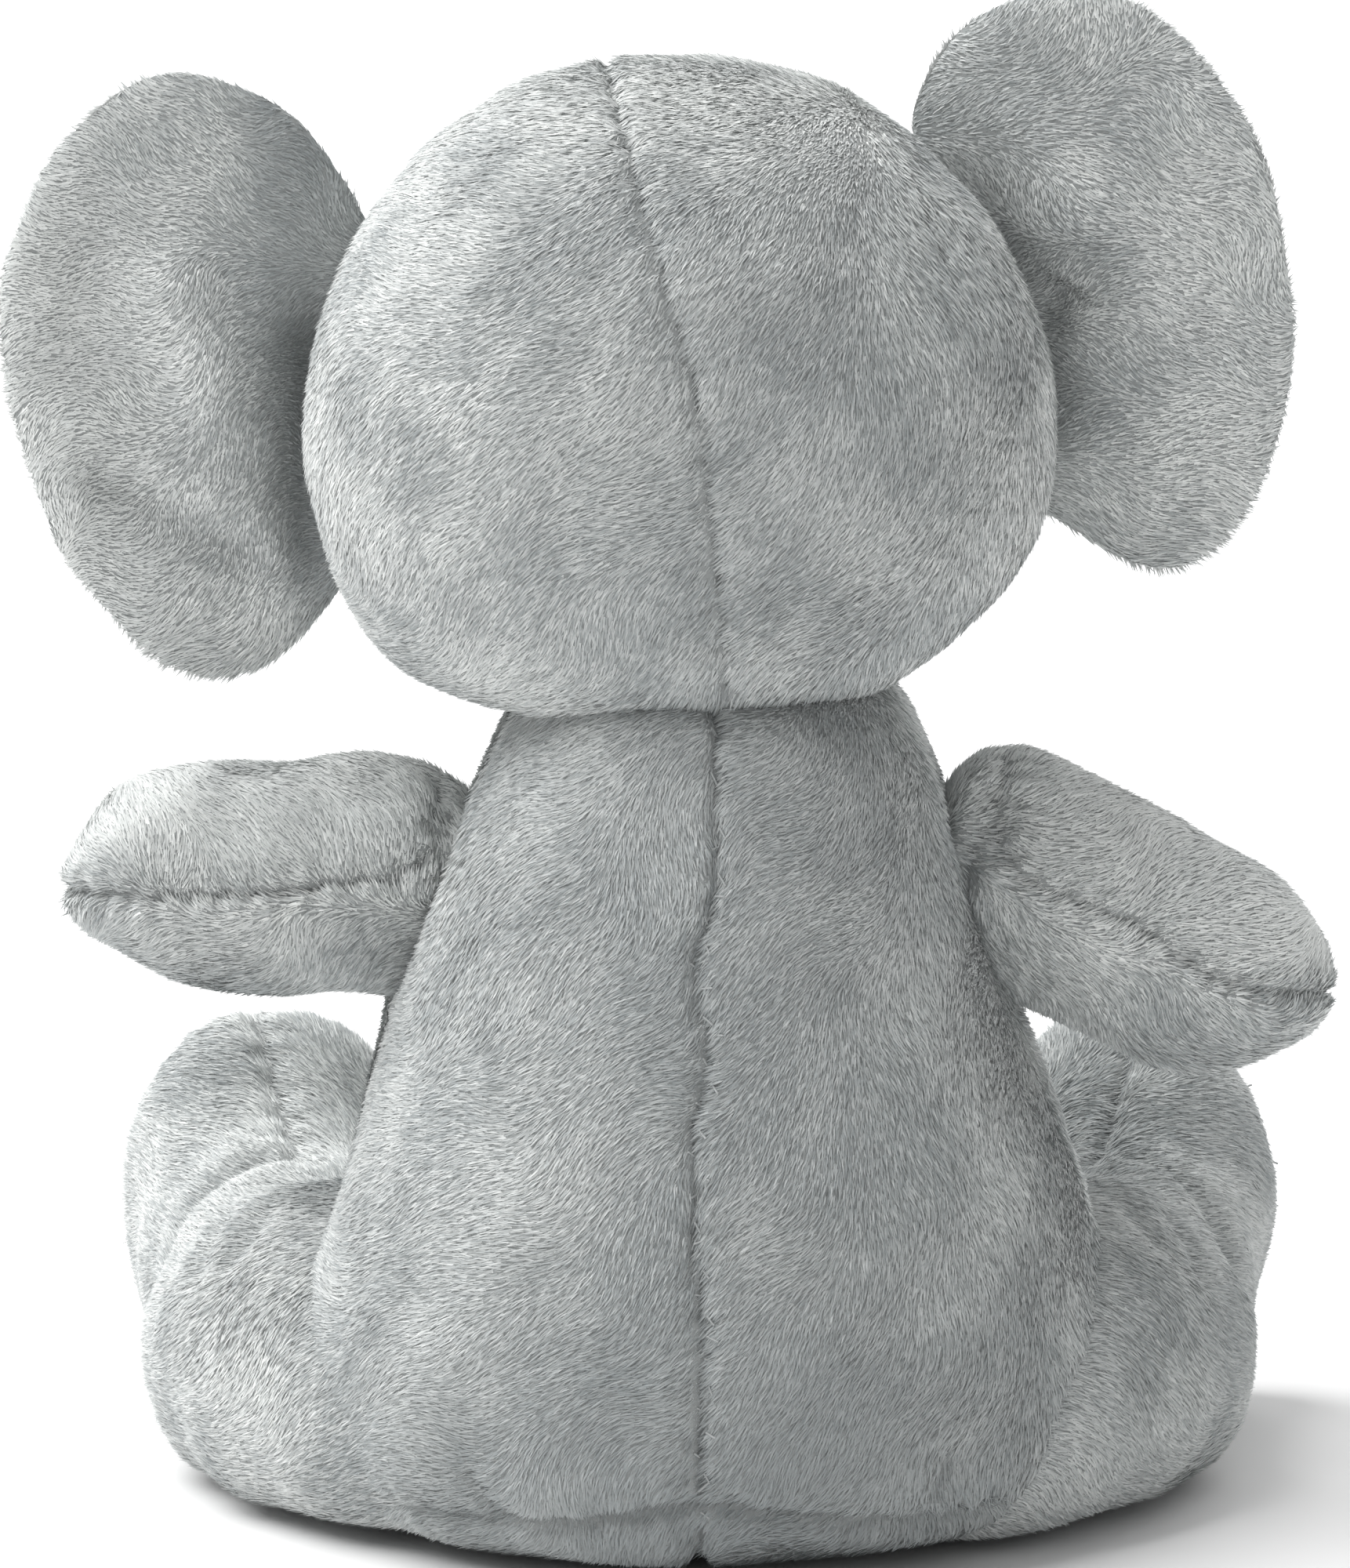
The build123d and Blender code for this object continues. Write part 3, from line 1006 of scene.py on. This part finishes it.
trunk = loft("trunkSkin", trunkRings())
plump(trunk, [], trunkShape["swell"], trunkShape["cap"])
finer(trunk, 2)
trunkMid = [(0, trunkShape["root"][1] - f, trunkShape["root"][2] + u) for f, u, r in trunkShape["stations"]]
for k, under in enumerate((1, -1)):
    rows = []
    for (f, u, r), (x, y, z) in zip(trunkShape["stations"], trunkMid):
        rows.append((0, y - under * r * 0.8, z + under * r * 0.8))
    sew(trunk, onto(trunk, headPoint(rows)), width=1.5, depth=1.1, pucker=0.3, pitch=6, seed=50 + k)
lumps(trunk, 10, 0.4, 52)


def trunkLay(p):
    return np.array([0.0, -0.45, -1.0]) + 0 * p


layPile(trunk, trunkLay, 0.35, 18, 55)
print("trunk made")

# arms

armShape = dict(
    shoulder=(64, -4, 121.8),
    # distance along the arm, vertical radius, radius front to back, rise of the middle
    left=[
        (-24, 3, 3, 1), (-23.5, 12, 12, 1), (-20, 19, 18, 1), (-12, 22.6, 21, 1.5), (-2, 23.4, 22, 3),
        (10, 23, 22.3, 2.6), (22, 23.2, 22.5, 1.6), (32, 22.4, 22, 1.6), (41, 20, 20, 2.2),
        (48.5, 16, 16.5, 2.4), (54, 11, 12, 1.2), (57.6, 5.5, 6.5, 0), (58.8, 1.5, 1.5, 0),
    ],
    right=[
        (-24, 3, 3, 2), (-23.5, 12, 12, 2), (-20, 19, 18, 2), (-12, 22.6, 21, 2.5), (-2, 23.6, 22, 2.5),
        (10, 23.2, 22.4, 1.2), (22, 23.4, 22.5, 0.5), (33, 23.2, 22, 0), (43, 21, 20.5, 0),
        (51, 16.5, 17, 0.5), (57, 11, 12, 1.5), (60.8, 5.5, 6.5, 1.5), (62, 1.5, 1.5, 1.5),
    ],
    # the seam along the arm's back: distance along the arm, height, distance behind the middle
    seam=dict(
        left=[
            (-20, 21, 8), (-14, 12, 20), (-6, 6, 22), (6, 5, 23), (18, 3, 24), (32, 1.5, 23), (44, 0.5, 19),
            (53, 0, 12), (58.5, -1, 0),
        ],
        right=[
            (-18, 18, 10), (-12, 9, 20), (-4, 4, 22), (8, 5, 23), (20, 5, 24), (32, 2, 23), (44, 2, 20),
            (55, 4, 12), (61.5, 5, 0),
        ],
    ),
    droop=dict(left=-1.0, right=24.0),
    around=32,
    along=24,
    swell=0.8,
    cap=2.2,
    swirl=0.55,
    patch=22,
)


def armFrame(side):
    k = 1 if side == "left" else -1
    a = math.radians(armShape["droop"][side])
    out = np.array([k * math.cos(a), 0, -math.sin(a)])
    up = np.array([k * math.sin(a), 0, math.cos(a)])
    x, y, z = armShape["shoulder"]
    return np.array([k * x, y, z]), out, up


def makeArm(side):
    k = 1 if side == "left" else -1
    root, out, up = armFrame(side)
    back = np.array([0.0, 1.0, 0.0])
    s = armShape
    rings = []
    a = np.arange(s["around"]) / s["around"] * math.tau
    for run, high, deep, rise in flow(s[side], s["along"]):
        middle = root + out * run + up * rise
        rings.append(middle + np.outer(np.sin(a) * high, up) + np.outer(np.cos(a) * deep, back))
    arm = loft("arm" + side.capitalize() + "Skin", rings)

    def spot(run, high, deep):
        return root + out * run + up * high + back * deep

    rows = s["seam"][side]
    front = [(run, 0.5 * high, -deep) for run, high, deep in rows[-2::-1]]
    seam = [spot(*r) for r in rows + front]
    plump(arm, verticesNear(arm, [onto(arm, seam)], 2.5), s["swell"], s["cap"])
    finer(arm, 2)
    lumps(arm, 14, 0.6, 60 + k)
    sew(arm, onto(arm, seam), width=1.4, depth=1.7, pucker=0.8, pitch=6.5, seed=62 + k)
    around = [spot(-17, 26 * math.cos(t), 26 * math.sin(t)) for t in np.linspace(0, math.tau, 9)]
    sew(arm, onto(arm, around), width=2.2, depth=1.6, pucker=0.6, pitch=7, seed=64 + k)

    def lay(p):
        above = ramp(((p - root) @ up), -4, 4)
        return out * 0.8 + up * (0.9 * above - 0.5 * (1 - above))[:, None]

    def tone(p, n):
        # painted light on the top, painted shade on the underside
        high = (p - root) @ up
        return 0.2 * ramp(high, 0, -10) - 0.42 * ramp(high, 2, 14)

    layPile(arm, lay, s["swirl"], s["patch"], 70 + k, tone=tone)
    return arm


arms = {side: makeArm(side) for side in ("left", "right")}
print("arms made")

# legs and soles

legShape = dict(
    hip=(78, -32),
    splay=8.0,
    # distance along the leg, half width, half height, height of the middle
    stations=[
        (-20, 3, 3, 29), (-19, 10, 10, 29), (-14, 19, 20, 29), (-4, 25, 26, 30), (10, 28, 28.5, 31),
        (25, 28.5, 28.5, 31.5), (35, 28.5, 29.5, 33), (45, 29, 33, 36), (54, 29.5, 37, 39),
        (62, 30, 39.8, 40.6), (69, 29.5, 40, 41), (72, 28.5, 39, 41), (73, 25.5, 36, 41),
        (73.2, 12, 20, 41), (73.2, 3, 5, 41),
    ],
    # the thigh's outline seen from above, and its share of that outline at each height
    thigh=[
        (40, 52), (56, 47), (68, 39.5), (78, 30.5), (88, 19.5), (97, 6), (104, -8), (109, -24),
        (110, -42), (101, -56), (82, -63), (58, -60), (40, -44), (32, -10), (30, 24),
    ],
    thighMiddle=(66, -14),
    thighRise=[
        (0.4, 0.12), (0.4, 0.5), (2.5, 0.74), (8, 0.88), (17, 0.97), (27, 1.0), (35, 0.945), (43, 0.84),
        (50, 0.70), (56, 0.53), (60, 0.34), (61.5, 0.12),
    ],
    # seams and folds: distance along the leg, distance outwards, height
    topSeam=[(8, -4, 64), (20, -3, 62), (32, -2, 63), (46, 0, 70), (60, 2, 81), (71, 2, 81)],
    underSeam=[10, 25, 50, 70],
    crease=[(10, 34, 34), (14, 27, 46), (18, 18, 55), (22, 6, 60), (24, -8, 60)],
    tucks=[[(-4, 12, 56), (-10, 18, 48), (-20, 22, 40)], [(-14, 4, 56), (-20, 10, 48), (-20, 16, 40)]],
    voxel=3.4,
    around=46,
    along=36,
    swell=0.6,
    cap=2.0,
    swirl=0.45,
    patch=24,
)
soleShape = dict(
    run=73.2,
    height=41,
    wide=27,
    high=37.4,
    # share of the outline, distance outwards
    rings=[
        (0.05, 2.6), (0.35, 2.5), (0.62, 2.2), (0.8, 1.8), (0.92, 1.2), (0.98, 0.5), (0.98, -0.9),
        (0.92, -1.4), (0.6, -1.5), (0.1, -1.5),
    ],
    swell=0.3,
    cap=1.0,
)


def fused(name, parts, voxel, rounds):
    # one closed cover over overlapping forms
    corners, faces = [], []
    for part in parts:
        base = len(corners)
        corners += [tuple(v.co) for v in part.data.vertices]
        faces += [tuple(base + i for i in f.vertices) for f in part.data.polygons]
        bpy.data.objects.remove(part)
    obj = meshFrom(name, corners, faces)
    remesh = obj.modifiers.new("cover", "REMESH")
    remesh.mode = "VOXEL"
    remesh.voxel_size = voxel * mm
    soft = obj.modifiers.new("soft", "SMOOTH")
    soft.factor = 0.5
    soft.iterations = rounds
    bpy.context.view_layer.update()
    mesh = evaluated(obj, name)
    obj.modifiers.clear()
    obj.data = mesh
    outward(obj)
    return obj


def legFrame(k):
    a = math.radians(legShape["splay"])
    ahead = np.array([k * math.sin(a), -math.cos(a), 0])
    side = np.array([k * math.cos(a), math.sin(a), 0])
    return np.array([k * legShape["hip"][0], legShape["hip"][1], 0.0]), ahead, side


def makeLeg(side):
    k = 1 if side == "left" else -1
    hip, ahead, across = legFrame(k)
    up = np.array([0, 0, 1.0])
    s = legShape
    a = np.arange(s["around"]) / s["around"] * math.tau

    def oval(wide, high):
        c, v = np.cos(a), np.sin(a)
        return np.sign(c) * np.abs(c) ** 0.92 * wide, np.sign(v) * np.abs(v) ** 0.92 * high

    rings = []
    for run, wide, high, middle in flow(s["stations"], s["along"]):
        x, z = oval(wide, high)
        rings.append(hip + ahead * run + up * middle + np.outer(x, across) + np.outer(z, up))
    plan = flow(s["thigh"] + s["thigh"][:1], 61)[:-1]
    middle = np.array(s["thighMiddle"], float)
    lobe = []
    for z, share in flow(s["thighRise"], 22):
        xy = middle + (plan - middle) * share
        lobe.append(np.stack([k * xy[:, 0], xy[:, 1], np.full(len(xy), z)], 1))
    forms = [loft("shin", rings), loft("thigh", lobe)]
    leg = fused("leg" + side.capitalize() + "Skin", forms, s["voxel"], 4)

    def spot(run, wide, z):
        return hip + ahead * run + across * wide + up * z

    top = [spot(*row) for row in s["topSeam"]]
    below = [spot(run, 0, 0) for run in s["underSeam"]]
    turn = np.linspace(0, math.tau, 33)
    toe = [spot(70.5, 29.5 * math.cos(t), 41 + 40 * math.sin(t)) for t in turn]
    held = [onto(leg, top), onto(leg, below), onto(leg, toe)]
    plump(leg, verticesNear(leg, held, 2.8), s["swell"], s["cap"])
    finer(leg, 1)
    lumps(leg, 18, 0.6, 80 + k)
    sew(leg, onto(leg, top), width=1.9, depth=1.7, pucker=0.5, pitch=8, seed=82 + k)
    sew(leg, onto(leg, below), width=1.8, depth=1.0, pucker=0.2, pitch=8, seed=84 + k)
    sew(leg, onto(leg, toe), width=1.6, depth=1.6, pucker=0.5, pitch=6, seed=86 + k)
    crease = [spot(*row) for row in s["crease"]]
    fold(leg, onto(leg, crease), 4.2, 4.0)
    for tuck in s["tucks"]:
        fold(leg, onto(leg, [spot(*row) for row in tuck]), 3.4, 1.8)
    p = coords(leg.data)
    p[:, 2] = np.maximum(p[:, 2], 0.3 * mm)
    setCoords(leg.data, p)

    def lay(q):
        out = unit((q - hip) * np.array([1.0, 1.0, 0.0]))
        return ahead * 0.55 + out * 0.25 + across * 0.7 - up * 0.25

    def growth(q, n):
        run = (q - hip) @ ahead
        return ramp(run, 72.4, 70.5) * np.where((q[:, 2] < 1.2) & (n[:, 2] < -0.8), 0.15, 1.0)

    def tone(q, n):
        # painted shade: darker towards the bottom, more so on the right leg
        return (0.05 if side == "left" else 0.25) * ramp(q[:, 2], 90, 50)

    layPile(leg, lay, s["swirl"], s["patch"], 90 + k, growth=growth, tone=tone)
    disc = []
    x, z = oval(soleShape["wide"], soleShape["high"])
    for share, out in soleShape["rings"]:
        middle = hip + ahead * (soleShape["run"] + out) + up * soleShape["height"]
        disc.append(middle + np.outer(x * share, across) + np.outer(z * share, up))
    sole = loft("sole" + side.capitalize(), disc)
    plump(sole, [], soleShape["swell"], soleShape["cap"])
    finer(sole, 2)
    return leg, sole, onto(leg, toe)


legs = {}
soles = {}
toeSeams = {}
for side in ("left", "right"):
    legs[side], soles[side], toeSeams[side] = makeLeg(side)
print("legs made")

# pile on every skin

skins = {"body": body, "head": head, "trunk": trunk}
for name, pair in (("ear", ears), ("arm", arms), ("leg", legs)):
    for side in ("left", "right"):
        skins[name + side.capitalize()] = pair[side]
piles = {}
for count, (label, skin) in enumerate(skins.items()):
    skin.data.materials.clear()
    skin.data.materials.append(materials["backing"])
    settings = {**pileShape, "Seed": pileShape["Seed"] + count}
    full, rear = take(skin.data, "growth"), coords(skin.data)[:, 1] > 0
    # the body's pile is made as two pieces, behind and in front of its middle
    shares = {"Back": rear, "Front": ~rear} if label == "body" else {"": 1}
    piles[label] = []
    for half, share in shares.items():
        put(skin.data, "growth", full * share)
        piles[label].append(grown(skin, trees["pile"], label + half + "Pile", settings))
    put(skin.data, "growth", full)
    print(label, "pile blades:", [len(pile.data.polygons) for pile in piles[label]])
for sole in soles.values():
    sole.data.materials.append(materials["sole"])

# stitches

threads = {
    "spineStitches": stitchLine(body, spine, "spineStitches", 1),
    "toeStitchesLeft": stitchLine(legs["left"], toeSeams["left"], "toeStitchesLeft", 2),
    "toeStitchesRight": stitchLine(legs["right"], toeSeams["right"], "toeStitchesRight", 3),
}
print("pile and stitches made")

# the frame's own nodes: the finish of each; the stuffing nodes take "fill"
nodeFinish = {
    "eye_left": "eye",
    "eye_right": "eye",
    "eye_washer_left": "washer",
    "eye_washer_right": "washer",
    "pellet_pouch": "pouch",
}
for name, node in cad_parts.items():
    finish = nodeFinish.get(name, "fill")
    node.data.materials.clear()
    node.data.materials.append(materials[finish])


def part(label, bodies, start, end, fill, *nodes):
    # a cover and its pile with their placing applied to the mesh, and the frame's nodes that it stands for
    # hidden; the two bodies, where it turns and its filling are not used
    skin = skins[label]
    for piece in (skin, *piles[label]):
        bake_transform(piece)
    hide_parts(*nodes)


bodyNodes = ["back_panel_left", "back_panel_right", "belly_panel"]
bodyNodes += ["bottom_panel_left", "bottom_panel_right", "body_stuffing"]
part("body", ("body", "neck"), (0, 0, 0.150), (0, 0, 0.172), 0.75, *bodyNodes)
headNodes = ["head_panel_left", "head_panel_right", "head_stuffing"]
part("head", ("neck", "head"), (0, 0, 0.156), (0, 0, 0.182), 0.9, *headNodes)
trunkNodes = ["trunk_panel_left", "trunk_panel_right", "trunk_stuffing"]
trunkTurn = headPoint([(0, -62, -10), (0, -82, -24)]) * mm
part("trunk", ("head", "trunk"), *trunkTurn, 0.85, *trunkNodes)
for side, k in (("left", 1), ("right", -1)):
    word = side.capitalize()
    earNodes = [f"ear_{side}_{node}" for node in ("back_panel", "front_panel", "wadding")]
    earTurn = headPoint([(k * 68, -10, 0), (k * 88, -10, 0)]) * mm
    part("ear" + word, ("head", "ear_" + side), *earTurn, 0.35, *earNodes)
    root, out, up = armFrame(side)
    armNodes = [f"arm_{side}_{node}" for node in ("upper_panel", "lower_panel", "stuffing")]
    armTurn = [(root - out * 16) * mm, (root + out * 6) * mm]
    part("arm" + word, ("body", "arm_" + side), *armTurn, 0.8, *armNodes)
    hip, ahead, across = legFrame(k)
    legNodes = [f"leg_{side}_{node}" for node in ("outer_panel", "inner_panel", "stuffing")]
    legTurn = [(hip - ahead * 26) * mm, (hip + ahead * 8) * mm]
    part("leg" + word, ("body", "leg_" + side), *legTurn, 0.8, *legNodes)
    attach(soles[side], "leg_" + side)
    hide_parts(f"leg_{side}_sole")
    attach(threads["toeStitches" + word], "leg_" + side)
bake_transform(threads["spineStitches"])

# floor, light, camera

stageFloor = dict(half=6, height=-0.0005, colour=(0.82, 0.82, 0.82, 1), roughness=0.9)
half, height = stageFloor["half"], stageFloor["height"]
floorCorners = [(x * half, y * half, height) for x, y in ((-1, -1), (1, -1), (1, 1), (-1, 1))]
floor = meshFrom("floor", floorCorners, [(0, 1, 2, 3)])
floorLook = Graph("paleFloor")
floorLook.finish(Base_Color=stageFloor["colour"], Roughness=stageFloor["roughness"])
floor.data.materials.append(floorLook.material)

stageLight = dict(
    key=dict(toward=(0.66, 0.02, 1.0), strength=3.8, spread=55.0),
    front=dict(toward=(-0.25, -0.75, 0.65), strength=1.2, spread=60.0),
    world=0.47,
)


def softSun(name, toward, strength, spread):
    lamp = bpy.data.lights.new(name, "SUN")
    lamp.energy = strength
    lamp.angle = math.radians(spread)
    linked(name, lamp).rotation_euler = Vector(toward).to_track_quat("Z", "Y").to_euler()


for name in ("key", "front"):
    softSun(name, **stageLight[name])
world = bpy.data.worlds.new("paleRoom")
world.use_nodes = True
world.node_tree.nodes["Background"].inputs[0].default_value = (1, 1, 1, 1)
world.node_tree.nodes["Background"].inputs[1].default_value = stageLight["world"]
bpy.context.scene.world = world

cameraView = dict(aim=(0.0048, 0.0, 0.1428), elevation=10.0, distance=1.9, height=0.300, sensor=36.0)
camera = bpy.data.cameras.new("camera")
camera.lens = cameraView["sensor"] * cameraView["distance"] / cameraView["height"]
camera.sensor_width = cameraView["sensor"]
camera.clip_start = 0.05
viewer = linked("camera", camera)
tilt = math.radians(cameraView["elevation"])
aim = Vector(cameraView["aim"])
viewer.location = aim + Vector((0, math.cos(tilt), math.sin(tilt))) * cameraView["distance"]
viewer.rotation_euler = (aim - viewer.location).to_track_quat("-Z", "Y").to_euler()
bpy.context.scene.camera = viewer

bpy.context.scene.view_settings.view_transform = "Standard"
bpy.context.view_layer.update()
